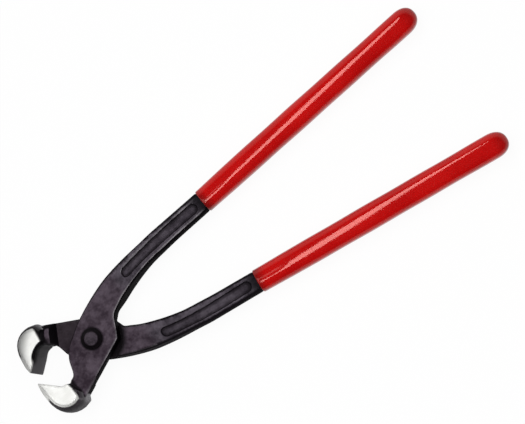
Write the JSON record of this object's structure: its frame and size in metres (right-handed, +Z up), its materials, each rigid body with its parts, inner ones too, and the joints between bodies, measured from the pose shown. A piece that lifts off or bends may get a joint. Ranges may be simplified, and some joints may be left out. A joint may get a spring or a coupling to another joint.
{
  "type": "concreters nippers",
  "caption": "End-cutting concreters' nippers: forged steel halves crossing in a riveted lap joint, with broad curved jaws, slim bowed levers and glossy red dipped grips.",
  "frame": {"origin": "On the rivet's axis, at the flat of the rivet's lower head.", "axes": "+X along the tool towards the jaws, +Y to the side of the lower lever's handle, +Z up along the rivet."},
  "size_m": [0.2497, 0.0858, 0.022],
  "materials": {
    "forged_steel": "blackened forged steel with bright ground jaw sides",
    "rivet_steel": "blackened steel",
    "red_dip": "glossy dipped plastic"
  },
  "bodies": {
    "lower_half": {"lower_lever": "forged_steel", "lower_grip": "red_dip", "pivot_rivet": "rivet_steel"},
    "upper_half": {"upper_lever": "forged_steel", "upper_grip": "red_dip"}
  },
  "joints": [
    {"name": "jaw_pivot", "type": "hinge", "parent": "lower_half", "child": "upper_half", "pos_m": [0, 0, 0.0081], "axis": [0, 0, 1], "range_deg": [-9.2, 31]}
  ]
}
